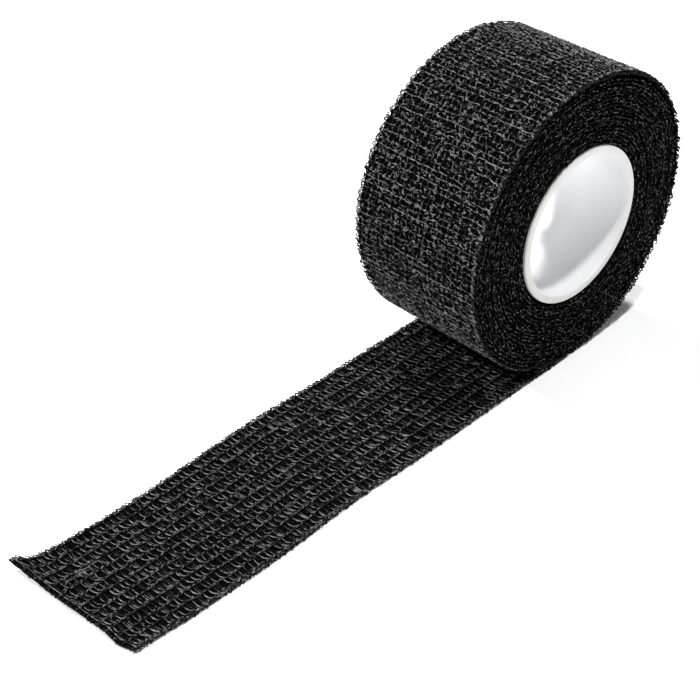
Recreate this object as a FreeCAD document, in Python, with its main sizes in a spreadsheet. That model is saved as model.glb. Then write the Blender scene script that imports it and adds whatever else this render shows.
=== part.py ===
"""Roll of elastic grip tape on a plastic core, with a length of tape laid out from it.

The core's axis is Y and its middle is the origin. The roll rests on a flat surface at
z = -roll_radius. The tape leaves the bottom of the roll and lies along -X.

The tape is one strip of knitted fabric: a thin web on its outer face, then lengthwise (warp)
threads, then crosswise (weft) threads. It is divided where it moves as the roll turns:
  tail   the free length that lies still on the surface,
  lap    the outermost turn, with the short flat length under the roll,
  wound  all the turns inside the outermost one.

Every round piece starts as a section at the bottom of the roll and is turned about Y.
"""

import FreeCAD, Part
import os

import Sketcher
from FreeCAD import Vector

OUTPUT_FOLDER = "parts"

# Driving dimensions: millimetres, degrees and counts.
DRIVING = {
    "tape_width": 25.0,
    "roll_radius": 25.5,
    "web_thickness": 0.26,
    "warp_thickness": 0.18,
    "warp_width": 0.3,
    "warp_pitch": 2.0,
    "warp_count": 13,
    "weft_diameter": 0.16,
    "weft_pitch": 1.0,
    "weft_margin": 0.2,
    "core_outer_radius": 13.4,
    "core_wall": 1.35,
    "core_edge_radius": 0.3,
    "tail_length": 94.0,
    "tail_end_skew": 2.0,
    "under_roll_length": 26.0,
    "tail_gap": 0.3,
    "lap_angle": 346.0,
    "turning_clearance": 0.25,
    "tab_thickness": 0.1,
    "tab_width": 20.0,
    "tab_angle": 44.0,
}

# Dimensions that the sheet works out. A radius is the distance from the roll's axis.
DERIVED = {
    "web_inner_radius": "=roll_radius - web_thickness",
    "warp_inner_radius": "=web_inner_radius - warp_thickness",
    "weft_centre_radius": "=warp_inner_radius - weft_diameter / 2",
    "lap_inner_radius": "=warp_inner_radius - weft_diameter",
    "wound_radius": "=lap_inner_radius - turning_clearance",
    "core_bore_radius": "=core_outer_radius - core_wall",
    "tab_outer_radius": "=core_outer_radius + tab_thickness",
    "weft_length": "=tape_width - 2 * weft_margin",
    "warp_span": "=(warp_count - 1) * warp_pitch",
    "first_warp": "=warp_span / 2",
    "tail_start": "=under_roll_length + tail_gap",
    "tail_short_side": "=tail_length - tail_end_skew",
    "tail_warp_length": "=tail_short_side - tail_start",
    "tail_first_weft": "=tail_start + weft_pitch / 2",
    "tail_weft_gaps": "=floor((tail_short_side - tail_first_weft) / weft_pitch)",
    "tail_weft_span": "=tail_weft_gaps * weft_pitch",
    "tail_weft_count": "=tail_weft_gaps + 1",
    "flat_weft_count": "=floor(under_roll_length / weft_pitch)",
    "flat_weft_span": "=(flat_weft_count - 1) * weft_pitch",
    "lap_weft_count": "=floor(lap_angle / 360 * 2 * pi * roll_radius / weft_pitch)",
}

# How a sketch names its own origin and axes, the ends of a line and the centre of a circle.
ORIGIN_POINT = (-1, 1)
HORIZONTAL_AXIS = -1
VERTICAL_AXIS = -2
START = 1
END = 2
CENTRE = 3

doc = FreeCAD.newDocument("grip_tape_roll")
sheet = doc.addObject("Spreadsheet::Sheet", "Dimensions")
for row, (alias, value) in enumerate((DRIVING | DERIVED).items(), start=1):
    sheet.set(f"A{row}", alias)
    sheet.set(f"B{row}", str(value))
    sheet.setAlias(f"B{row}", alias)
doc.recompute()


def size(alias):
    """The value of a dimension, used to draw a sketch near its final shape."""
    return float(getattr(sheet, alias))


def drive(item, prop, alias, sign=""):
    """Bind a property or constraint to a cell of the sheet."""
    item.setExpression(prop, f"{sign}Dimensions.{alias}")


def new_body(label):
    body = doc.addObject("PartDesign::Body", label)
    body.Label = label
    return body


def origin_item(body, role):
    """A plane or axis of the body's own origin."""
    return next(item for item in body.Origin.OriginFeatures if item.Role == role)


def new_sketch(body, name, plane, offset=None, sign=""):
    """A sketch on one of the body's origin planes, moved along its normal if offset is given."""
    sketch = body.newObject("Sketcher::SketchObject", name)
    sketch.AttachmentSupport = [(origin_item(body, plane), "")]
    sketch.MapMode = "FlatFace"
    if offset:
        drive(sketch, "AttachmentOffset.Base.z", offset, sign)
    return sketch


def rule(sketch, *definition):
    """A geometric constraint."""
    return sketch.addConstraint(Sketcher.Constraint(*definition))


def measure(sketch, name, alias, *definition):
    """A dimensional constraint driven by the sheet."""
    index = rule(sketch, *definition, size(alias))
    sketch.renameConstraint(index, name)
    drive(sketch, f"Constraints.{name}", alias)


def add_outline(sketch, points):
    """A closed outline of straight lines; returns the lines' numbers."""
    lines = []
    for start, end in zip(points, points[1:] + points[:1]):
        lines.append(sketch.addGeometry(Part.LineSegment(Vector(*start), Vector(*end)), False))
    for line, following in zip(lines, lines[1:] + lines[:1]):
        rule(sketch, "Coincident", line, END, following, START)
    return lines


def strip_section(body, name, width, outer_radius, inner_radius, offset=None, sign=""):
    """The strip cut across at the bottom of the roll: width along Y, thickness along Z."""
    sketch = new_sketch(body, name, "YZ_Plane", offset, sign)
    half = size(width) / 2
    low = -size(outer_radius)
    high = -size(inner_radius)
    bottom, right, top, left = add_outline(
        sketch, [(-half, low), (half, low), (half, high), (-half, high)])
    rule(sketch, "Symmetric", bottom, START, bottom, END, VERTICAL_AXIS)
    rule(sketch, "Horizontal", top)
    rule(sketch, "Vertical", left)
    rule(sketch, "Vertical", right)
    measure(sketch, "width", width, "DistanceX", bottom, START, bottom, END)
    measure(sketch, "outer_radius", outer_radius, "DistanceY", bottom, START, *ORIGIN_POINT)
    measure(sketch, "inner_radius", inner_radius, "DistanceY", top, END, *ORIGIN_POINT)
    return sketch


def thread_section(body, name, diameter, radius, distance=None):
    """A crosswise thread cut across: a circle below the axis, or that and -distance along X."""
    sketch = new_sketch(body, name, "XZ_Plane")
    along = -size(distance) if distance else 0.0
    centre = Vector(along, -size(radius))
    circle = sketch.addGeometry(Part.Circle(centre, Vector(0, 0, 1), size(diameter) / 2), False)
    measure(sketch, "below_axis", radius, "DistanceY", circle, CENTRE, *ORIGIN_POINT)
    if distance:
        measure(sketch, "along", distance, "DistanceX", circle, CENTRE, *ORIGIN_POINT)
    else:
        rule(sketch, "PointOnObject", circle, CENTRE, VERTICAL_AXIS)
    index = rule(sketch, "Diameter", circle, size(diameter))
    sketch.renameConstraint(index, "diameter")
    drive(sketch, "Constraints.diameter", diameter)
    return sketch


def pad(body, name, sketch, length, symmetric=False, reverse=False):
    """A straight extrusion of a sketch."""
    feature = body.newObject("PartDesign::Pad", name)
    feature.Profile = sketch
    feature.SideType = "Symmetric" if symmetric else "One side"
    feature.Reversed = reverse
    drive(feature, "Length", length)
    return feature


def turned(body, kind, name, sketch, angle=None, symmetric=False, reverse=False):
    """A Revolution or Groove about the roll's axis, of a whole turn unless angle is given."""
    feature = body.newObject(f"PartDesign::{kind}", name)
    feature.Profile = sketch
    feature.ReferenceAxis = (origin_item(body, "Y_Axis"), [""])
    feature.Midplane = symmetric
    feature.Reversed = reverse
    if angle:
        drive(feature, "Angle", angle)
    return feature


def repeat_along(body, name, features, axis, span, count, reverse=False):
    """A straight row of copies of features along one of the body's axes."""
    row_of = body.newObject("PartDesign::LinearPattern", name)
    row_of.Originals = features
    row_of.Direction = (origin_item(body, axis), [""])
    row_of.Reversed = reverse
    drive(row_of, "Length", span)
    drive(row_of, "Occurrences", count)
    body.Tip = row_of


def repeat_around(body, name, features, angle, count, reverse=False):
    """A ring of copies of features about the roll's axis."""
    ring_of = body.newObject("PartDesign::PolarPattern", name)
    ring_of.Originals = features
    ring_of.Axis = (origin_item(body, "Y_Axis"), [""])
    ring_of.Reversed = reverse
    drive(ring_of, "Angle", angle)
    drive(ring_of, "Occurrences", count)
    body.Tip = ring_of


def core_tube():
    """The moulded plastic core: a plain tube with rounded rims."""
    body = new_body("core_tube")
    section = strip_section(
        body, "core_section", "tape_width", "core_outer_radius", "core_bore_radius")
    wall = turned(body, "Revolution", "core_wall_turned", section)
    doc.recompute()
    rims = [
        f"Edge{number}"
        for number, edge in enumerate(wall.Shape.Edges, start=1)
        if isinstance(edge.Curve, Part.Circle)
    ]
    rounding = body.newObject("PartDesign::Fillet", "core_rims")
    rounding.Base = (wall, rims)
    drive(rounding, "Radius", "core_edge_radius")
    return body


def starter_tab():
    """The adhesive tab that holds the first turn of tape to the core."""
    body = new_body("starter_tab")
    section = strip_section(
        body, "tab_section", "tab_width", "tab_outer_radius", "core_outer_radius")
    turned(body, "Revolution", "tab_turned", section, "tab_angle", symmetric=True)
    return body


def wound_tape():
    """All the turns inside the outermost one, with room for the tab against the core."""
    body = new_body("wound_tape")
    section = strip_section(
        body, "wound_section", "tape_width", "wound_radius", "core_outer_radius")
    turned(body, "Revolution", "wound_turned", section)
    recess = strip_section(
        body, "recess_section", "tab_width", "tab_outer_radius", "core_bore_radius")
    turned(body, "Groove", "tab_recess", recess, "tab_angle", symmetric=True)
    return body


def lap_strip(body, name, width, outer_radius, inner_radius, offset=None, sign=""):
    """A strip that runs flat under the roll, then once round it, up the +X side first."""
    section = strip_section(body, f"{name}_section", width, outer_radius, inner_radius)
    flat = pad(body, f"{name}_flat", section, "under_roll_length", reverse=True)
    turn = turned(body, "Revolution", f"{name}_turn", section, "lap_angle", reverse=True)
    return [flat, turn]


def lap_web():
    """The web of the outermost turn."""
    body = new_body("lap_web")
    lap_strip(body, "web", "tape_width", "roll_radius", "web_inner_radius")
    return body


def lap_warp_threads():
    """The lengthwise threads of the outermost turn, side by side across the tape."""
    body = new_body("lap_warp_threads")
    features = lap_strip(body, "warp", "warp_width", "web_inner_radius", "warp_inner_radius")
    drive(body, "Placement.Base.y", "first_warp", sign="-")
    repeat_along(body, "warp_row", features, "Y_Axis", "warp_span", "warp_count")
    return body


def lap_weft_threads():
    """The crosswise threads of the outermost turn and of the flat length under the roll."""
    body = new_body("lap_weft_threads")
    section = thread_section(body, "ring_section", "weft_diameter", "weft_centre_radius")
    thread = pad(body, "ring_thread", section, "weft_length", symmetric=True)
    repeat_around(body, "weft_ring", [thread], "lap_angle", "lap_weft_count", reverse=True)
    section = thread_section(
        body, "flat_section", "weft_diameter", "weft_centre_radius", "weft_pitch")
    thread = pad(body, "flat_thread", section, "weft_length", symmetric=True)
    repeat_along(
        body, "weft_row", [thread], "X_Axis", "flat_weft_span", "flat_weft_count", reverse=True)
    return body


def tail_web():
    """The web of the free length, cut a little askew at its end."""
    body = new_body("tail_web")
    sketch = new_sketch(body, "tail_outline", "XY_Plane", "roll_radius", sign="-")
    half = size("tape_width") / 2
    start = -size("tail_start")
    near, root, far, cut = add_outline(
        sketch,
        [(-size("tail_short_side"), -half), (start, -half), (start, half),
         (-size("tail_length"), half)])
    rule(sketch, "Horizontal", near)
    rule(sketch, "Horizontal", far)
    rule(sketch, "Symmetric", root, START, root, END, HORIZONTAL_AXIS)
    measure(sketch, "width", "tape_width", "DistanceY", root, START, root, END)
    measure(sketch, "root", "tail_start", "DistanceX", root, START, *ORIGIN_POINT)
    measure(sketch, "short_side", "tail_short_side", "DistanceX", near, START, *ORIGIN_POINT)
    measure(sketch, "long_side", "tail_length", "DistanceX", cut, START, *ORIGIN_POINT)
    pad(body, "tail_web_pad", sketch, "web_thickness")
    return body


def tail_warp_threads():
    """The lengthwise threads of the free length, side by side across the tape."""
    body = new_body("tail_warp_threads")
    section = strip_section(
        body, "warp_section", "warp_width", "web_inner_radius", "warp_inner_radius",
        "tail_start", sign="-")
    thread = pad(body, "warp", section, "tail_warp_length", reverse=True)
    drive(body, "Placement.Base.y", "first_warp", sign="-")
    repeat_along(body, "warp_row", [thread], "Y_Axis", "warp_span", "warp_count")
    return body


def tail_weft_threads():
    """The crosswise threads of the free length."""
    body = new_body("tail_weft_threads")
    section = thread_section(
        body, "weft_section", "weft_diameter", "weft_centre_radius", "tail_first_weft")
    thread = pad(body, "weft", section, "weft_length", symmetric=True)
    repeat_along(
        body, "weft_row", [thread], "X_Axis", "tail_weft_span", "tail_weft_count", reverse=True)
    return body


def check(pieces):
    """Stop if any object failed to compute or any piece has no sound shape."""
    for item in doc.Objects:
        if "Invalid" in item.State or "Error" in item.State:
            raise RuntimeError(f"{item.Name} failed: {item.State}")
    for piece in pieces:
        if piece.Shape.isNull() or not piece.Shape.isValid():
            raise RuntimeError(f"{piece.Label} has no sound shape")


def main():
    pieces = [
        core_tube(),
        starter_tab(),
        wound_tape(),
        lap_web(),
        lap_warp_threads(),
        lap_weft_threads(),
        tail_web(),
        tail_warp_threads(),
        tail_weft_threads(),
    ]
    doc.recompute()
    check(pieces)
    os.makedirs(OUTPUT_FOLDER, exist_ok=True)
    for piece in pieces:
        piece.Shape.exportStep(os.path.join(OUTPUT_FOLDER, f"{piece.Label}.step"))
        box = piece.Shape.BoundBox
        print(
            f"{piece.Label}: {len(piece.Shape.Solids)} solids, {piece.Shape.Volume:.1f} mm3, "
            f"x {box.XMin:.2f} {box.XMax:.2f}, y {box.YMin:.2f} {box.YMax:.2f}, "
            f"z {box.ZMin:.2f} {box.ZMax:.2f}")


main()
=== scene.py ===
"""Looks of the grip tape roll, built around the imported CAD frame.

The tape is knitted from black yarn. Its shape is worked out in the strip's own coordinates:
  s  distance along the strip from where it leaves the bottom of the roll, negative on the tail,
  v  distance across the strip, positive towards +Y,
  h  depth from the strip's outer face, which is the floor side on the tail and the outside
     on the roll.
Lengths are in metres. Every yarn is a real tube laid on that strip.
"""

import math

import bpy
import numpy as np
from mathutils import Matrix, Vector


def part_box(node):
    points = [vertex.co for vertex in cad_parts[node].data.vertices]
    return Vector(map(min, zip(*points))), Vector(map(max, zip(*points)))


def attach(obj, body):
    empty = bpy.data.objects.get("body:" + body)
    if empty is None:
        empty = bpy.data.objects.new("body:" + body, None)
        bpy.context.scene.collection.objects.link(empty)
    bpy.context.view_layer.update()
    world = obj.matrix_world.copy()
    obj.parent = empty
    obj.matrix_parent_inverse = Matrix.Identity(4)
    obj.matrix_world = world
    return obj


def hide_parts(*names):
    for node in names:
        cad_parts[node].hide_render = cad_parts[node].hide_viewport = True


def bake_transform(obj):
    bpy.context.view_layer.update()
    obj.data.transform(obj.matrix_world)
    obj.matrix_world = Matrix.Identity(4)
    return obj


MM = 0.001
TURN = 2 * math.pi

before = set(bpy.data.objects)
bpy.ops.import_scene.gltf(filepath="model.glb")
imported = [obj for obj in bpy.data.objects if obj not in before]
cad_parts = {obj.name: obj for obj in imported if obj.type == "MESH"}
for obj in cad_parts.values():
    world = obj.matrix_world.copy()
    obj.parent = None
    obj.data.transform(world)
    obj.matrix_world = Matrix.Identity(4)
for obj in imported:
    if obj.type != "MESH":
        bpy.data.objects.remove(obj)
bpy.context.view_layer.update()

# ---------------------------------------------------------------- sizes

# Read from the frame.
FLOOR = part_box("tail_web")[0].z
ROLL_RADIUS = -FLOOR
TAPE_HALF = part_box("tail_web")[1].y
TAPE_WIDTH = 2 * TAPE_HALF
TAIL_LENGTH = -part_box("tail_web")[0].x
CORE_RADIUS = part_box("core_tube")[1].z

# The core, a plain tube with rounded rims.
CORE_WALL = 1.35 * MM
BORE_RADIUS = CORE_RADIUS - CORE_WALL
CORE_RIM = 0.3 * MM
CORE_STEPS = 288

# The knit: 13 lengthwise wales, with a crosswise yarn for each stitch. Every yarn narrows to a tip.
TAPE_THICKNESS = 0.6 * MM
WALES = 13
WALE_PITCH = 2.0 * MM
TAIL_STITCH = 0.95 * MM
LAP_STITCH = 1.05 * MM
SELVEDGE_PITCH = 0.4 * MM
YARN_TIP = 0.35

# The web behind the yarns.
WEB_HALF = TAPE_HALF - 0.4 * MM
WEB_STEP_ALONG = 0.5 * MM
WEB_STEP_ACROSS = 0.42 * MM

# The tail: how far its end is cut askew, where its small fold lies, and the share of its depth
# that is left under the roll.
END_SKEW = 2.4 * MM
CREASE_V = 4.8 * MM
CREASE_INSET = 5.2 * MM
PRESSED = 0.45

# The outermost lap, which stands a little slack, and the wound turns, which end in a smooth round
# that turns freely inside it.
LAP_SLACK = 0.3 * MM
LAP_END = (TURN - 0.03) * (ROLL_RADIUS - TAPE_THICKNESS / 2)
WOUND_TOP = ROLL_RADIUS - 0.95 * MM
LAP_INNER = WOUND_TOP + 0.05 * MM
WOUND_IN = CORE_RADIUS + 0.08 * MM
WOUND_THICK = 0.54 * MM
WOUND_THINNEST = 0.04 * MM
WOUND_PRESSED = 0.031 * MM
WOUND_OFF_CORE = 0.005 * MM
WOUND_INSET = 0.45 * MM
WOUND_ROUNDING = 0.22 * MM
WOUND_TURNS = (WOUND_TOP - WOUND_THICK - WOUND_IN) / TAPE_THICKNESS + 1
WOUND_STEPS_A_TURN = 220
WOUND_LOOPS = 5400

rng = np.random.default_rng(7)


# ---------------------------------------------------------------- strip geometry

def smooth(x, low, high):
    """0 below low, 1 above high, smooth between."""
    t = np.clip((x - low) / (high - low), 0, 1)
    return t * t * (3 - 2 * t)


def waves(x, y, scale, seed, octaves=3):
    """Soft repeatable noise, about -1 to 1, from a few sine waves in different directions."""
    local = np.random.default_rng(seed)
    total = np.zeros(np.broadcast(x, y).shape)
    for octave in range(octaves):
        for _ in range(4):
            angle, phase = local.uniform(0, TURN, 2)
            k = TURN / (scale * local.uniform(0.7, 1.4)) * 1.7 ** octave
            total = total + np.sin(k * (x * math.cos(angle) + y * math.sin(angle)) + phase) / 1.8 ** octave
    return total / 4


def tail_zones(s, v):
    """Weights from 0 to 1: clear of the roll, towards the cut end, at its tip, far edge, near edge."""
    free = smooth(-s, 22 * MM, 60 * MM)
    end = smooth(-s, TAIL_LENGTH - 20 * MM, TAIL_LENGTH) ** 2
    tip = smooth(-s, TAIL_LENGTH - 9 * MM, TAIL_LENGTH)
    far = smooth(v, 2 * MM, TAPE_HALF)
    near = smooth(-v, 4 * MM, TAPE_HALF)
    return free, end, tip, far, near


def tail_lift(s, v):
    """The height of the tail's underside above the floor."""
    free, end, tip, far, near = tail_zones(s, v)
    slack = 0.05 * free * (1 + waves(s, v * 0.6, 24 * MM, 3, 2))
    corners = 0.2 * end * far ** 2 + 0.5 * tip ** 2 * far ** 3 + 0.3 * tip ** 2 * near ** 3
    # the slanting fold, the hollow beside it, and fine lengthwise ripples at the end
    along = s + TAIL_LENGTH - CREASE_INSET - 0.35 * (v - CREASE_V)
    crease = np.exp(-(along / (4 * MM)) ** 2 - ((v - CREASE_V) / (0.9 * MM)) ** 2)
    hollow = np.exp(-((along + 1 * MM) / (5 * MM)) ** 2 - ((v - CREASE_V - 2.4 * MM) / (1.1 * MM)) ** 2)
    ripple = 0.12 * (1 + np.sin(v / (1.15 * MM) + 0.8 + s / (5 * MM))) * (1 - near)
    raised = 0.25 * (1 - hollow) * (1 - near)
    return (slack + corners + 0.55 * crease + (raised + ripple) * end) * MM


def tail_plan(s, v):
    """Where the tail lies on the floor: its x and y."""
    free, end, tip, far, near = tail_zones(s, v)
    bulge = 0.35 * MM * np.exp(-((v + 9 * MM) / (2.5 * MM)) ** 2)
    x = s + end * (END_SKEW * (0.33 - 0.5 * v / TAPE_HALF) - bulge)
    width = 1 + 0.012 * free * waves(s, 0 * v, 30 * MM, 9, 2)
    wander = 0.3 * free * waves(s, 0 * v, 42 * MM, 5, 2)
    aside = -(0.75 + 0.25 * v / TAPE_HALF) * smooth(-s, 45 * MM, 82 * MM)
    # the far corner is drawn out to a point, and the near one is pulled in
    point = smooth(-s, TAIL_LENGTH - 4 * MM, TAIL_LENGTH) * far
    far_corner = 0.4 * tip ** 2 * far ** 2 + 2.0 * point ** 2
    near_corner = 0.95 * smooth(-s, TAIL_LENGTH - 16 * MM, TAIL_LENGTH) * near ** 2
    return x, v * width + (wander + far_corner + aside + near_corner) * MM


def lap_angle(s):
    """How far round the roll the strip has gone, from the bottom."""
    return np.maximum(s, 0) / (ROLL_RADIUS - TAPE_THICKNESS / 2)


def lap_radius(s):
    """The radius of the outermost turn's outer face."""
    return ROLL_RADIUS + LAP_SLACK * smooth(lap_angle(s), 0.2, 1.2) - TAPE_THICKNESS * lap_angle(s) / TURN


def lap_depth(s):
    """The depth of the outermost turn's inner face."""
    return lap_radius(s) - LAP_INNER


def even(depth):
    """The same depth all along the strip."""
    return lambda s: depth + 0 * s


def strip(s, v, h):
    """Points of the strip, and the direction that its shown face looks."""
    s, v, h = np.broadcast_arrays(s, v, h)
    x, y = tail_plan(s, v)
    # the roll presses the tail flat where it stands on it
    pressed = PRESSED + (1 - PRESSED) * smooth(-s, 1 * MM, 8 * MM)
    flat = np.stack([x, y, FLOOR + tail_lift(s, v) + h * pressed], -1)
    angle = lap_angle(s)
    radius = lap_radius(s) - h
    round_ = np.stack([radius * np.sin(angle), v, -radius * np.cos(angle)], -1)
    on_tail = (s < 0)[..., None]
    outward = np.stack([np.sin(angle), 0 * angle, -np.cos(angle)], -1)
    upward = np.broadcast_to(np.array([0.0, 0.0, 1.0]), flat.shape)
    return np.where(on_tail, flat, round_), np.where(on_tail, upward, outward)


# ---------------------------------------------------------------- meshes

def new_mesh(name, points, quads, smooth_faces=True):
    """A mesh object from arrays of points and of four-cornered faces."""
    mesh = bpy.data.meshes.new(name)
    points = np.asarray(points, np.float32).reshape(-1, 3)
    quads = np.asarray(quads, np.int32).reshape(-1, 4)
    mesh.vertices.add(len(points))
    mesh.vertices.foreach_set("co", points.ravel())
    mesh.loops.add(quads.size)
    mesh.loops.foreach_set("vertex_index", quads.ravel())
    mesh.polygons.add(len(quads))
    mesh.polygons.foreach_set("loop_start", np.arange(0, quads.size, 4, dtype=np.int32))
    mesh.polygons.foreach_set("use_smooth", np.full(len(quads), smooth_faces))
    mesh.update(calc_edges=True)
    mesh.validate()
    obj = bpy.data.objects.new(name, mesh)
    bpy.context.scene.collection.objects.link(obj)
    return obj


def grid_faces(grid):
    """Four-cornered faces over a two-way array of point numbers."""
    return np.stack([grid[:-1, :-1], grid[1:, :-1], grid[1:, 1:], grid[:-1, 1:]], -1).reshape(-1, 4)


def tubes(paths, normals, radius, sides=5):
    """Tubes along many paths of equal point count: paths (N, P, 3), radius (N, P).

    Gives the points, the faces, and how far each point stands above its path's centre line."""
    paths = np.asarray(paths, float)
    count, points, _ = paths.shape
    radius = np.broadcast_to(radius, (count, points)).copy()
    radius[:, 0] *= YARN_TIP
    radius[:, -1] *= YARN_TIP
    along = np.gradient(paths, axis=1)
    along /= np.linalg.norm(along, axis=-1, keepdims=True) + 1e-12
    side = np.cross(along, normals)
    side /= np.linalg.norm(side, axis=-1, keepdims=True) + 1e-12
    up = np.cross(side, along)
    turn = np.arange(sides) * TURN / sides
    ring = side[:, :, None] * np.cos(turn)[:, None] + up[:, :, None] * np.sin(turn)[:, None]
    verts = paths[:, :, None] + ring * radius[:, :, None, None]
    above = (ring * normals[:, :, None]).sum(-1) * radius[:, :, None]
    base = np.arange(count * points * sides).reshape(count, points, sides)
    a = base[:, :-1]
    b = base[:, 1:]
    quads = np.stack([a, np.roll(a, -1, 2), np.roll(b, -1, 2), b], -1).reshape(-1, 4)
    return verts.reshape(-1, 3), quads, above


class Yarns:
    """Collects tubes into one mesh, with each point's painted light: painted shade, 0, at the sunk level and
    painted highlight, 1, at the lit level.
    """

    def __init__(self, sunk, lit_level):
        self.sunk = sunk
        self.lit_level = lit_level
        self.points = []
        self.quads = []
        self.painted_light = []
        self.total = 0

    def add(self, s, v, h, radius, sides=5):
        """Tubes along paths given on the strip."""
        paths, normals = strip(s, v, h)
        self.add_paths(paths, normals, h, radius, sides)

    def add_paths(self, paths, normals, level, radius, sides=5):
        """Tubes along paths given in space, with the level that sets their painted shade and painted
        highlight.
        """
        points, quads, above = tubes(paths, normals, radius, sides)
        points[:, 2] = np.maximum(points[:, 2], FLOOR)
        # Painted light: painted shade at the sunk level, painted highlight at the lit level, and more of it
        # on the top side of each tube.
        outward = math.copysign(1, self.lit_level - self.sunk)
        level = np.broadcast_to(level, paths.shape[:2])[..., None] + outward * above
        self.painted_light.append(np.clip((level - self.sunk) / (self.lit_level - self.sunk), 0, 1).ravel())
        self.points.append(points)
        self.quads.append(quads + self.total)
        self.total += len(points)

    def build(self, name):
        """One object of all the tubes, with a point attribute that holds each point's painted shade and
        painted highlight.
        """
        obj = new_mesh(name, np.concatenate(self.points), np.concatenate(self.quads))
        painted_light = obj.data.attributes.new("painted_light", "FLOAT", "POINT")
        painted_light.data.foreach_set("value", np.concatenate(self.painted_light).astype(np.float32))
        return obj


# ---------------------------------------------------------------- the knitted structure

def wale_v(index):
    """Where a wale runs across the strip."""
    return (index - (WALES - 1) / 2) * WALE_PITCH


def wale_drift(s, index):
    """How far a wale strays from its line."""
    return 0.2 * MM * waves(s, index * 7.3 * MM, 9 * MM, 21, 3)


def bars(low, high, pitch, wander):
    """Positions of crosswise yarns from low to high, unevenly spaced."""
    count = int((high - low) / pitch)
    place = low + (np.arange(count) + 0.5) * pitch
    return place + rng.normal(0, wander * pitch, count)


def web(name, s_low, s_high, depth, hidden_depth):
    """The web under the yarns: a closed sheet with a slightly lumpy shown face."""
    s_count = int((s_high - s_low) / WEB_STEP_ALONG) + 1
    v_count = int(TAPE_WIDTH / WEB_STEP_ACROSS) + 1
    s, v = np.meshgrid(np.linspace(s_low, s_high, s_count),
                       np.linspace(-WEB_HALF, WEB_HALF, v_count), indexing="ij")
    ragged = 0.12 * MM * waves(s, v, 1.6 * MM, 31, 2) * (np.abs(v) > WEB_HALF - 0.4 * MM)
    lump = 0.05 * MM * waves(s, v, 1.3 * MM, 33, 3)
    shown, _ = strip(s, v + ragged, depth + lump)
    hidden, _ = strip(s, v + ragged, hidden_depth(s))
    points = np.concatenate([shown.reshape(-1, 3), hidden.reshape(-1, 3)])
    top = np.arange(s_count * v_count).reshape(s_count, v_count)
    low = top + s_count * v_count
    rim = np.concatenate([top[:, 0], top[-1, 1:], top[-2::-1, -1], top[0, -2:0:-1]])
    rim_low = rim + s_count * v_count
    wall = np.stack([rim, np.roll(rim, -1), np.roll(rim_low, -1), rim_low], -1)
    return new_mesh(name, points, np.concatenate([grid_faces(top), grid_faces(low)[:, ::-1], wall]))


def tail_hooks(yarns, s_low, s_high):
    """The crossing yarns of the tail's shown face: each bows over one wale gap and ends in a hook."""
    # t counts wale gaps along the yarn, with its height in millimetres and how thick it is at each t
    t = np.array([-0.05, 0.12, 0.3, 0.48, 0.66, 0.84, 1.0, 1.12, 1.24, 1.34])
    height = np.array([0.30, 0.48, 0.60, 0.68, 0.74, 0.76, 0.72, 0.62, 0.48, 0.34])
    thick = np.array([0.7, 0.85, 1.0, 1.1, 1.15, 1.1, 1.0, 0.95, 0.9, 0.8])
    # it stops crossing and turns lengthwise as it comes to the next wale
    across = np.where(t < 0.85, t, 0.85 + 0.2 * np.tanh((t - 0.85) / 0.2))
    bend = 2.6 * np.maximum(t - 0.66, 0) ** 2 + 0.5 * (t - 0.5) ** 2
    for gap in range(-1, WALES):
        place = bars(s_low, s_high, TAIL_STITCH, 0.09)
        count = len(place)
        hook = rng.uniform(0.6, 1.15, (count, 1)) * MM
        reach = rng.normal(1.0, 0.08, (count, 1))
        slant = rng.normal(-0.26, 0.14, (count, 1)) * MM
        s = place[:, None] + hook * bend + slant * t
        v = wale_v(gap + 1) - WALE_PITCH * across * reach + wale_drift(s, gap)
        v = np.clip(v, -TAPE_HALF, TAPE_HALF)
        h = height * MM * rng.uniform(0.75, 1.15, (count, 1))
        radius = rng.uniform(0.058, 0.08, (count, 1)) * MM * thick
        yarns.add(s, v, h, radius, sides=6)
        # some of them are doubled by a thinner yarn beside and below
        double = rng.random(count) < 0.42
        shift = rng.uniform(0.28, 0.45, (double.sum(), 1)) * MM
        drop = rng.uniform(0.04, 0.24, (double.sum(), 1)) * MM
        yarns.add(s[double] + shift, v[double], h[double] - drop, radius[double] * 0.85, sides=5)


def wale_chain(yarns, index, s_low, s_high, level, swing, radius, pitch, phase):
    """One lengthwise yarn that snakes along a wale as the stitches pull it to and fro.

    An index that ends in a half runs midway between two wales."""
    count = max(int((s_high - s_low) / (0.22 * MM)), 4)
    s = np.linspace(s_low, s_high, count)
    row = index * 3 * MM
    turn = TURN * s / pitch + phase + 1.3 * waves(s, row, 4 * MM, 41 + int(2 * index))
    v = wale_v(index) + wale_drift(s, index) + swing * np.sin(turn)
    h = level + 0.11 * MM * np.cos(turn + 0.6) + 0.07 * MM * waves(s, row, 2 * MM, 81 + int(2 * index))
    yarns.add(s[None], v[None], h[None], radius * (1 + 0.25 * np.sin(2 * turn))[None], sides=4)


def lap_bars(yarns, s_low, s_high):
    """Crosswise yarns of the roll's outer face, kinked and rising and sinking between the wales."""
    place = bars(s_low, s_high, LAP_STITCH, 0.12)[:, None]
    strong = np.arange(len(place))[:, None] % 2 == 0
    v = np.linspace(-TAPE_HALF, TAPE_HALF, 100)[None]
    row = np.arange(len(place))[:, None] * 3.1 * MM
    s = place + (0.16 * waves(row, v, 2.2 * MM, 61, 3) + 0.07 * waves(row, v, 0.8 * MM, 64, 1)) * MM
    h = (0.19 - 0.04 * strong + 0.24 * waves(row, v, 1.2 * MM, 63, 2)) * MM
    radius = (0.062 + 0.014 * strong) * MM * (1 + 0.35 * waves(row, v, 1.2 * MM, 65, 1))
    yarns.add(s, v + 0 * s, np.maximum(h, 0.02 * MM), radius, sides=5)


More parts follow.
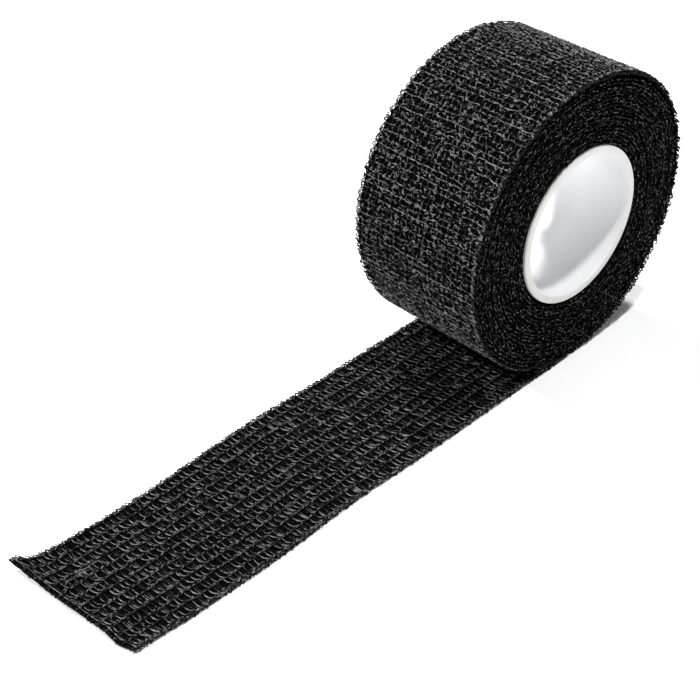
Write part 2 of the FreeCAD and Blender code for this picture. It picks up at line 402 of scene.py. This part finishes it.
def strokes(yarns, s, v, heading, length, curl, level, arch, radius):
    """Short curved lengths of yarn lying on the strip, one for each row of the arrays given."""
    t = np.linspace(-0.5, 0.5, 5)[None]
    turned = heading[:, None] + curl[:, None] * t
    s = s[:, None] + length[:, None] * t * np.cos(turned)
    v = v[:, None] + length[:, None] * t * np.sin(turned)
    v = np.clip(v, -TAPE_HALF, TAPE_HALF)
    h = level[:, None] + arch[:, None] * (0.25 - t ** 2)
    yarns.add(s, v, h, radius[:, None] * (1.15 - 0.9 * t ** 2), sides=4)


def loose_ends(yarns, s_low, s_high, count, level, rise, length, radius, crosswise):
    """Short curved lengths all over a face; a share of them lie roughly crosswise."""
    across = rng.random(count) < crosswise
    heading = np.where(across, rng.normal(math.pi / 2, 0.35, count), rng.uniform(0, TURN, count))
    strokes(yarns, rng.uniform(s_low, s_high, count), rng.uniform(-TAPE_HALF, TAPE_HALF, count), heading,
            length=rng.uniform(0.45, 1.0, count) * length,
            curl=rng.normal(0, 0.8, count),
            level=level + rng.uniform(-0.5, 0.5, count) * 0.16 * MM,
            arch=rise * rng.uniform(0.2, 1.6, count),
            radius=rng.uniform(0.75, 1.25, count) * radius)


def knots(yarns, s_low, s_high, pitch, level, rise, size, radius, skip):
    """Small stitch loops where crosswise yarns meet a wale, each one leaning its own way."""
    t = np.linspace(-1, 1, 7)[None]
    for index in range(WALES):
        place = bars(s_low, s_high, pitch, 0.14)
        place = place[rng.random(len(place)) > skip][:, None]
        lean = rng.normal(0, 0.6, place.shape)
        width = rng.uniform(0.12, 0.32, place.shape) * MM
        length = rng.uniform(0.6, 1.1, place.shape) * size
        s0 = length * (0.5 - t ** 2)
        v0 = width * np.sin(t * 2.2)
        s = place + s0 * np.cos(lean) - v0 * np.sin(lean)
        v = wale_v(index) + wale_drift(place, index) + s0 * np.sin(lean) + v0 * np.cos(lean)
        h = level + rise * rng.uniform(0.5, 1.3, place.shape) * (1 - t ** 2)
        yarns.add(s, v, h, radius * rng.uniform(0.8, 1.2, place.shape))


def selvedge(yarns, s_low, s_high, shallow, deep):
    """Small loops where the crosswise yarns turn back at the strip's edges."""
    t = np.linspace(-1, 1, 7)[None]
    for edge in (-1, 1):
        place = bars(s_low, s_high, SELVEDGE_PITCH, 0.25)[:, None]
        out = rng.uniform(0.42, 0.68, place.shape) * MM
        s = place + 0.36 * MM * t * rng.uniform(0.6, 1.2, place.shape)
        v = edge * (TAPE_HALF - 0.55 * MM + out * (1 - t ** 2))
        level = rng.uniform(0, 1, place.shape)
        h = shallow(s) * (1 - level) + deep(s) * level + 0.1 * MM * t
        yarns.add(s, v, h, rng.uniform(0.09, 0.14, place.shape) * MM, sides=5)


def cut_end(yarns):
    """The cut end of the tail: a ragged row of yarn ends and two crosswise yarns beside it."""
    count = 90
    v = np.linspace(-TAPE_HALF, TAPE_HALF, count) + rng.normal(0, 0.1, count) * MM
    strokes(yarns, -TAIL_LENGTH + (0.25 + rng.normal(0, 0.1, count)) * MM, v, rng.normal(0, 0.5, count),
            length=rng.uniform(0.4, 0.9, count) * MM,
            curl=rng.normal(0, 1.0, count),
            level=rng.uniform(0.1, 0.45, count) * MM,
            arch=rng.normal(0, 0.3, count) * MM,
            radius=rng.uniform(0.07, 0.11, count) * MM)
    v = np.linspace(-TAPE_HALF, TAPE_HALF, 120)[None]
    for inset, level, seed in ((0.65, 0.62, 96), (0.1, 0.2, 91)):
        s = -TAIL_LENGTH + (inset + 0.09 * waves(v, 0 * v, 1.8 * MM, seed, 2)) * MM
        h = (level + 0.06 * waves(v, 0 * v, 1.4 * MM, seed + 5, 2)) * MM
        yarns.add(s, v, h, 0.1 * MM, sides=6)


def wrinkle(yarns):
    """Yarn pushed up into a small fold near the far corner of the tail."""
    count = 16
    along = rng.uniform(-2.6, 2.6, count) * MM
    v = CREASE_V + rng.normal(0, 0.32, count) * MM
    strokes(yarns, -TAIL_LENGTH + CREASE_INSET + along, v, rng.normal(0.0, 0.16, count),
            length=rng.uniform(1.0, 2.2, count) * MM,
            curl=rng.normal(0, 0.5, count),
            level=rng.uniform(0.5, 0.68, count) * MM,
            arch=rng.uniform(0.1, 0.3, count) * MM,
            radius=rng.uniform(0.08, 0.12, count) * MM)


# ---------------------------------------------------------------- the wound turns and the core

# The wound turns are the same strip, spiralled out from the core to the lap.
# Its angle is counted from the strip's inner end.

def wound_radius(angle):
    """The radius of the spiral's inner face."""
    return WOUND_IN + TAPE_THICKNESS * angle / TURN


def wound_place(angle, radius, y):
    """Points of the wound turns, which end at the bottom of the roll, under the lap."""
    turned = WOUND_TURNS * TURN - angle
    return np.stack([radius * np.sin(turned), y, -radius * np.cos(turned)], -1)


def wound_edge(angle, side):
    """How far each turn's edge stands out of the roll's end, turn by turn."""
    by_turn = waves(angle / TURN * 2.3 * MM, 0 * angle, 3.1 * MM, 71 + side, 2)
    along_turn = waves(angle * wound_radius(angle), 0 * angle, 2.2 * MM, 73 + side, 2)
    return (0.16 * by_turn + 0.06 * along_turn) * MM


def wound_strip():
    """The spiral's web. Its cross-section has rounded edges and is thickest half way across."""
    steps = int(WOUND_TURNS * WOUND_STEPS_A_TURN)
    angle = np.linspace(0, WOUND_TURNS * TURN, steps)[:, None]
    # The first turn fills the step at the strip's inner end, and the last one thins out to a round outside.
    inside = np.where(angle < TURN, WOUND_IN, np.minimum(wound_radius(angle), WOUND_TOP - WOUND_THINNEST))
    outside = np.minimum(wound_radius(angle) + WOUND_THICK, WOUND_TOP)
    middle = (inside + outside) / 2
    half_thick = (outside - inside) / 2
    corner = np.linspace(-math.pi / 2, math.pi / 2, 5)
    edge = TAPE_HALF - WOUND_INSET + WOUND_ROUNDING * np.cos(corner)
    # Half way across, each turn is pressed onto its neighbours, so that no light passes between them.
    pressed_in = np.where(angle < TURN, CORE_RADIUS + WOUND_OFF_CORE, inside - WOUND_PRESSED)
    y = np.concatenate([edge + wound_edge(angle, 1), 0 * angle, -edge - wound_edge(angle, 0), 0 * angle], 1)
    r = np.concatenate([middle + half_thick * np.sin(corner), outside + WOUND_PRESSED,
                        middle - half_thick * np.sin(corner), pressed_in], 1)
    ring = y.shape[1]
    index = np.arange(steps * ring).reshape(steps, ring)
    quads = np.stack([index[:-1], index[1:], np.roll(index[1:], -1, 1), np.roll(index[:-1], -1, 1)], -1)
    caps = []
    for row, flip in ((index[0], True), (index[-1], False)):
        for k in range(ring // 2 - 1):
            face = [row[k], row[k + 1], row[ring - 2 - k], row[ring - 1 - k]]
            caps.append(face[::-1] if flip else face)
    quads = np.concatenate([quads.reshape(-1, 4), np.array(caps)])
    return new_mesh("wound_strip", wound_place(angle, r, y), quads)


def wound_loops(name, side):
    """Short turned-over yarn ends along every turn's edge, on one end of the roll."""
    yarns = Yarns(sunk=-0.2 * MM, lit_level=0.36 * MM)
    sign = 1 if side else -1
    each = (WOUND_LOOPS, 1)
    # spaced by equal lengths of the spiral, up to just inside its smooth round
    share = ((np.arange(WOUND_LOOPS) + rng.random(WOUND_LOOPS)) / WOUND_LOOPS)[:, None]
    last = WOUND_TOP - 0.35 * MM
    radius0 = np.sqrt(WOUND_IN ** 2 + (last ** 2 - WOUND_IN ** 2) * share)
    angle0 = (radius0 - WOUND_IN) / TAPE_THICKNESS * TURN
    t = np.linspace(-1, 1, 5)[None]
    half = rng.uniform(0.15, 0.4, each) * MM
    heading = rng.normal(0, 0.5, each) + rng.normal(0, 0.5, each) * t
    angle = angle0 + half * t * np.cos(heading) / radius0
    radius = radius0 + WOUND_THICK / 2 + half * t * np.sin(heading) + rng.normal(0, 0.10, each) * MM
    radius = np.minimum(radius, WOUND_TOP - 0.1 * MM)
    stand = rng.uniform(-0.14, 0.2, each) * MM - 0.16 * MM * t ** 2
    paths = wound_place(angle, radius, sign * (TAPE_HALF - 0.2 * MM + wound_edge(angle, side) + stand))
    normals = np.broadcast_to(np.array([0.0, sign, 0.0]), paths.shape)
    yarns.add_paths(paths, normals, stand, rng.uniform(0.055, 0.09, each) * MM, sides=4)
    return yarns.build(name)


def core():
    """The core as a turned profile: bore, rounded rims, flat end rings."""
    arc = np.linspace(0, math.pi / 2, 6)
    inner = BORE_RADIUS + CORE_RIM
    outer = CORE_RADIUS - CORE_RIM
    profile = []
    for centre, out, end, bend in ((inner, -1, -1, arc), (outer, 1, -1, arc[::-1]),
                                   (outer, 1, 1, arc), (inner, -1, 1, arc[::-1])):
        r = centre + out * CORE_RIM * np.cos(bend)
        y = end * (TAPE_HALF - CORE_RIM + CORE_RIM * np.sin(bend))
        profile.append(np.stack([r, y], -1))
    profile = np.concatenate(profile)
    angle = (np.arange(CORE_STEPS) * TURN / CORE_STEPS)[:, None]
    r = profile[None, :, 0]
    y = profile[None, :, 1] + 0 * angle
    points = np.stack([r * np.sin(angle), y, -r * np.cos(angle)], -1)
    index = np.arange(CORE_STEPS * len(profile)).reshape(CORE_STEPS, len(profile))
    follow = np.roll(index, -1, 0)
    quads = np.stack([index, np.roll(index, -1, 1), np.roll(follow, -1, 1), follow], -1)
    return new_mesh("core", points, quads)


# ---------------------------------------------------------------- materials

def principled(name):
    """A new material, its node tree and its shader."""
    material = bpy.data.materials.new(name)
    material.use_nodes = True
    tree = material.node_tree
    return material, tree, tree.nodes["Principled BSDF"]


def object_place(tree):
    """Places in the object's own coordinates."""
    return tree.nodes.new("ShaderNodeTexCoord").outputs["Object"]


def noise(tree, scale, detail=3.0):
    """Noise from 0 to 1, fixed to the object."""
    node = tree.nodes.new("ShaderNodeTexNoise")
    node.inputs["Scale"].default_value = scale
    node.inputs["Detail"].default_value = detail
    node.inputs["Roughness"].default_value = 0.6
    tree.links.new(object_place(tree), node.inputs["Vector"])
    return node.outputs["Fac"]


def ramp(tree, source, low, high, dark, light):
    """A colour that runs from dark to light as the source runs from low to high."""
    node = tree.nodes.new("ShaderNodeValToRGB")
    for element, position, colour in zip(node.color_ramp.elements, (low, high), (dark, light)):
        element.position = position
        element.color = (*colour, 1)
    tree.links.new(source, node.inputs["Fac"])
    return node.outputs["Color"]


def scaled(tree, source, low, high, at_low, at_high):
    """A value that runs from at_low to at_high as the source runs from low to high."""
    node = tree.nodes.new("ShaderNodeMapRange")
    for socket, value in (("From Min", low), ("From Max", high), ("To Min", at_low), ("To Max", at_high)):
        node.inputs[socket].default_value = value
    tree.links.new(source, node.inputs["Value"])
    return node.outputs["Result"]


def mixed(tree, factor, plain, other):
    """The first colour where the factor is 0 and the second where it is 1."""
    node = tree.nodes.new("ShaderNodeMix")
    node.data_type = "RGBA"
    tree.links.new(factor, node.inputs["Factor"])
    tree.links.new(plain, node.inputs["A"])
    tree.links.new(other, node.inputs["B"])
    return node.outputs["Result"]


def calculated(tree, operation, *sources):
    """One step of arithmetic on the sources."""
    node = tree.nodes.new("ShaderNodeMath")
    node.operation = operation
    for socket, source in zip(node.inputs, sources):
        tree.links.new(source, socket)
    return node.outputs["Value"]


def bumped(tree, shader, height, strength, distance):
    """Gives the shader fine relief from the height, which runs from 0 to 1."""
    node = tree.nodes.new("ShaderNodeBump")
    node.inputs["Strength"].default_value = strength
    node.inputs["Distance"].default_value = distance
    tree.links.new(height, node.inputs["Height"])
    tree.links.new(node.outputs["Normal"], shader.inputs["Normal"])


def yarn_material():
    """Black yarn with painted shade, dull and dark, where it lies sunk, and a painted highlight, paler and
    glossier, where it stands high, in random patches.
    """
    material, tree, shader = principled("yarn_black")
    # Painted shade and painted highlight: the point attribute from the mesh, times random patches, darkens
    # deep yarn and lightens its crests.
    painted_light = tree.nodes.new("ShaderNodeAttribute")
    painted_light.attribute_name = "painted_light"
    patches = scaled(tree, noise(tree, 1600.0, 2.0), 0.36, 0.62, 0.35, 1.0)
    lit_level = calculated(tree, "MULTIPLY", painted_light.outputs["Fac"], patches)
    colour = ramp(tree, lit_level, 0.30, 0.95, (0.0004, 0.0004, 0.0004), (0.20, 0.20, 0.206))
    tree.links.new(colour, shader.inputs["Base Color"])
    tree.links.new(scaled(tree, lit_level, 0.2, 0.8, 0.85, 0.35), shader.inputs["Roughness"])
    shader.inputs["Specular IOR Level"].default_value = 0.25
    shader.inputs["IOR"].default_value = 1.5
    bumped(tree, shader, noise(tree, 9000.0, 2.0), 0.3, 0.03 * MM)
    return material


def web_material():
    """The dark web behind the yarns."""
    material, tree, shader = principled("tape_web")
    colour = ramp(tree, noise(tree, 1500.0), 0.3, 0.75, (0.0006, 0.0006, 0.0006), (0.0036, 0.0036, 0.0038))
    tree.links.new(colour, shader.inputs["Base Color"])
    shader.inputs["Roughness"].default_value = 0.85
    shader.inputs["Specular IOR Level"].default_value = 0.0
    bumped(tree, shader, noise(tree, 4200.0), 0.8, 0.1 * MM)
    return material


def core_material():
    """Off-white moulded plastic: a cool satin bore with painted shade towards its ends, and warmer end rings.
    """
    material, tree, shader = principled("core_plastic")
    place = tree.nodes.new("ShaderNodeSeparateXYZ")
    tree.links.new(object_place(tree), place.inputs["Vector"])
    squares = [calculated(tree, "MULTIPLY", place.outputs[axis], place.outputs[axis]) for axis in "XZ"]
    from_axis = calculated(tree, "SQRT", calculated(tree, "ADD", *squares))
    from_middle = calculated(tree, "ABSOLUTE", place.outputs["Y"])
    ring = scaled(tree, from_axis, BORE_RADIUS + 0.05 * MM, BORE_RADIUS + 0.2 * MM, 0.0, 1.0)
    # Painted shade: the bore's colour is darker towards its two mouths, from 3.5 to 11 mm off the middle.
    mouth = scaled(tree, from_middle, 3.5 * MM, 11.0 * MM, 0.0, 1.0)
    mottle = noise(tree, 260.0)
    deep = ramp(tree, mottle, 0.3, 0.7, (0.81, 0.815, 0.83), (0.835, 0.84, 0.85))
    shaded_mouth = ramp(tree, mottle, 0.3, 0.7, (0.64, 0.645, 0.66), (0.67, 0.675, 0.69))
    end = ramp(tree, mottle, 0.3, 0.7, (0.51, 0.505, 0.485), (0.56, 0.555, 0.535))
    bore = mixed(tree, mouth, deep, shaded_mouth)
    tree.links.new(mixed(tree, ring, bore, end), shader.inputs["Base Color"])
    tree.links.new(scaled(tree, ring, 0.0, 1.0, 0.3, 0.55), shader.inputs["Roughness"])
    shader.inputs["Subsurface Weight"].default_value = 0.1
    shader.inputs["Subsurface Radius"].default_value = (2 * MM, 2 * MM, 2 * MM)
    bumped(tree, shader, noise(tree, 130.0, 1.0), 0.12, 0.3 * MM)
    return material


def tab_material():
    """The cloudy adhesive of the strip's starting tab."""
    material, tree, shader = principled("tab_adhesive")
    cloud = noise(tree, 400.0, 4.0)
    colour = ramp(tree, cloud, 0.3, 0.7, (0.62, 0.58, 0.46), (0.74, 0.70, 0.58))
    tree.links.new(colour, shader.inputs["Base Color"])
    tree.links.new(scaled(tree, cloud, 0.3, 0.7, 0.35, 0.6), shader.inputs["Roughness"])
    return material


def floor_material():
    """Matt white studio floor."""
    material, tree, shader = principled("floor")
    colour = ramp(tree, noise(tree, 2.0), 0.2, 0.8, (0.965, 0.965, 0.965), (0.985, 0.985, 0.985))
    tree.links.new(colour, shader.inputs["Base Color"])
    shader.inputs["Roughness"].default_value = 0.6
    shader.inputs["Specular IOR Level"].default_value = 0.2
    return material


# ---------------------------------------------------------------- build

def dress(obj, material):
    """Gives a piece its material."""
    obj.data.materials.clear()
    obj.data.materials.append(material)
    return obj


def tail_yarns():
    """The free length's crosswise yarns and its lengthwise ones."""
    cross = Yarns(sunk=0.40 * MM, lit_level=0.88 * MM)
    tail_hooks(cross, -TAIL_LENGTH + 0.6 * MM, -1 * MM)
    loose_ends(cross, -TAIL_LENGTH, -2 * MM, count=350, level=0.55 * MM, rise=0.3 * MM,
               length=0.8 * MM, radius=0.06 * MM, crosswise=0.3)
    loose_ends(cross, -TAIL_LENGTH, -2 * MM, count=900, level=0.54 * MM, rise=0.14 * MM,
               length=0.7 * MM, radius=0.055 * MM, crosswise=0.6)
    knots(cross, -TAIL_LENGTH, -2 * MM, pitch=TAIL_STITCH, level=0.52 * MM, rise=0.16 * MM,
          size=0.55 * MM, radius=0.08 * MM, skip=0.25)
    selvedge(cross, -TAIL_LENGTH, -1 * MM, shallow=even(0.08 * MM), deep=even(0.5 * MM))
    cut_end(cross)
    wrinkle(cross)
    chains = Yarns(sunk=0.34 * MM, lit_level=0.62 * MM)
    for wale in range(WALES):
        for side in (-1, 1):
            wale_chain(chains, wale, -TAIL_LENGTH, 0, level=(0.44 + 0.04 * side) * MM, swing=side * 0.15 * MM,
                       radius=0.07 * MM, pitch=TAIL_STITCH, phase=wale * 1.7 + 0.4 * side)
    return cross.build("tail_weft"), chains.build("tail_warp")


def lap_yarns():
    """The outermost lap's crosswise yarns, its loose ends and its lengthwise yarns."""
    levels = {"sunk": 0.34 * MM, "lit_level": -0.02 * MM}
    cross = Yarns(**levels)
    lap_bars(cross, 0, LAP_END)
    selvedge(cross, 0, LAP_END, shallow=even(0.12 * MM), deep=lambda s: lap_depth(s) - 0.12 * MM)
    ends = Yarns(**levels)
    loose_ends(ends, 0, LAP_END, count=7000, level=0.16 * MM, rise=-0.3 * MM,
               length=0.8 * MM, radius=0.066 * MM, crosswise=0.5)
    chains = Yarns(**levels)
    for wale in range(WALES):
        wale_chain(chains, wale, 0, LAP_END, level=0.22 * MM, swing=0.13 * MM, radius=0.075 * MM,
                   pitch=LAP_STITCH, phase=wale * 1.7)
        if wale < WALES - 1:
            wale_chain(chains, wale + 0.5, 0, LAP_END, level=0.25 * MM, swing=0.13 * MM, radius=0.07 * MM,
                       pitch=2 * LAP_STITCH, phase=wale * 2.9)
    knots(chains, 0, LAP_END, pitch=LAP_STITCH, level=0.2 * MM, rise=-0.12 * MM,
          size=0.5 * MM, radius=0.075 * MM, skip=0.5)
    return cross.build("lap_weft"), ends.build("lap_ends"), chains.build("lap_warp")


tail_sheet = web("tail_sheet", -TAIL_LENGTH + 0.1 * MM, 0, depth=0.32 * MM, hidden_depth=even(0.06 * MM))
lap_sheet = web("lap_sheet", 0, LAP_END, depth=0.42 * MM, hidden_depth=lap_depth)
tail_weft, tail_warp = tail_yarns()
lap_weft, lap_ends, lap_warp = lap_yarns()
wound = wound_strip()
loops_near = wound_loops("wound_loops_near", 0)
loops_far = wound_loops("wound_loops_far", 1)
core_piece = dress(core(), core_material())

web_black = web_material()
for piece in (tail_sheet, lap_sheet, wound):
    dress(piece, web_black)
yarn_black = yarn_material()
for piece in (tail_weft, tail_warp, lap_weft, lap_ends, lap_warp, loops_near, loops_far):
    dress(piece, yarn_black)

tab_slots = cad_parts["starter_tab"].data.materials
tab_slots.clear()
tab_slots.append(tab_material())

# ---------------------------------------------------------------- frame links

for piece in (tail_sheet, tail_weft, tail_warp):
    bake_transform(piece)
for piece in (lap_sheet, lap_weft, lap_warp, lap_ends):
    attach(piece, "lap")
for piece in (wound, loops_near, loops_far, core_piece):
    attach(piece, "roll")
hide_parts("tail_web")
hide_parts("tail_weft_threads")
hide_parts("tail_warp_threads")
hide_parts("lap_web")
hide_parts("lap_weft_threads")
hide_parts("lap_warp_threads")
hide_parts("wound_tape")
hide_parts("core_tube")

# ---------------------------------------------------------------- camera, floor and light

AZIMUTH = math.radians(-43.224)
ELEVATION = math.radians(37.781)
CAMERA_ROLL = math.radians(-1.725)
CAMERA_DISTANCE = 0.2348
CAMERA_TARGET = Vector((-0.03893, 0, -0.0096))
CAMERA_LENS = 79.48
LAMP_SPREAD = math.radians(5)
FLOOR_HALF = 3.0
FLOOR_CELLS = 16
FLOOR_GAP = 0.05 * MM


def make_camera():
    """The camera, at its distance and direction from the target, and tilted about its own line of sight."""
    level = math.cos(ELEVATION)
    back = Vector((math.sin(AZIMUTH) * level, -math.cos(AZIMUTH) * level, math.sin(ELEVATION)))
    right = Vector((math.cos(AZIMUTH), math.sin(AZIMUTH), 0))
    up = back.cross(right)
    tilted_right = right * math.cos(CAMERA_ROLL) + up * math.sin(CAMERA_ROLL)
    tilted_up = up * math.cos(CAMERA_ROLL) - right * math.sin(CAMERA_ROLL)
    turned = Matrix((tilted_right, tilted_up, back)).transposed().to_4x4()
    data = bpy.data.cameras.new("camera")
    data.lens = CAMERA_LENS
    data.clip_start = 0.01
    camera = bpy.data.objects.new("camera", data)
    camera.matrix_world = Matrix.Translation(CAMERA_TARGET + back * CAMERA_DISTANCE) @ turned
    bpy.context.scene.collection.objects.link(camera)
    bpy.context.scene.camera = camera


def lamp(name, towards, power):
    """A far soft lamp that shines from the given direction."""
    data = bpy.data.lights.new(name, "SUN")
    data.energy = power
    data.angle = LAMP_SPREAD
    light = bpy.data.objects.new(name, data)
    light.rotation_euler = Vector(towards).to_track_quat("Z", "Y").to_euler()
    bpy.context.scene.collection.objects.link(light)


def make_floor():
    """A wide flat floor, just under the tape."""
    line = np.linspace(-FLOOR_HALF, FLOOR_HALF, FLOOR_CELLS + 1)
    y, x = np.meshgrid(line, line, indexing="ij")
    points = np.stack([x, y, np.full_like(x, FLOOR - FLOOR_GAP)], -1)
    rows = np.arange(x.size).reshape(x.shape)
    floor = new_mesh("floor", points, grid_faces(rows.T), smooth_faces=False)
    floor.data.materials.append(floor_material())


def studio_world():
    """Dim overhead, with a pale band just above the horizon like a white cove."""
    world = bpy.data.worlds.new("studio")
    world.use_nodes = True
    tree = world.node_tree
    direction = tree.nodes.new("ShaderNodeTexCoord")
    height = tree.nodes.new("ShaderNodeSeparateXYZ")
    tree.links.new(direction.outputs["Generated"], height.inputs["Vector"])
    shade = ramp(tree, height.outputs["Z"], 0.14, 0.30, (0.95, 0.95, 0.95), (0.10, 0.10, 0.10))
    tree.links.new(shade, tree.nodes["Background"].inputs["Color"])
    bpy.context.scene.world = world


make_camera()
make_floor()
lamp("back_left", (-0.555, 0.435, 0.71), 3.2)
lamp("back_right", (0.26, 0.60, 0.76), 2.8)
lamp("overhead", (0.05, -0.125, 0.991), 2.6)
lamp("front", (0.25, -0.85, 0.46), 0.3)
studio_world()
bpy.context.scene.view_settings.view_transform = "Standard"
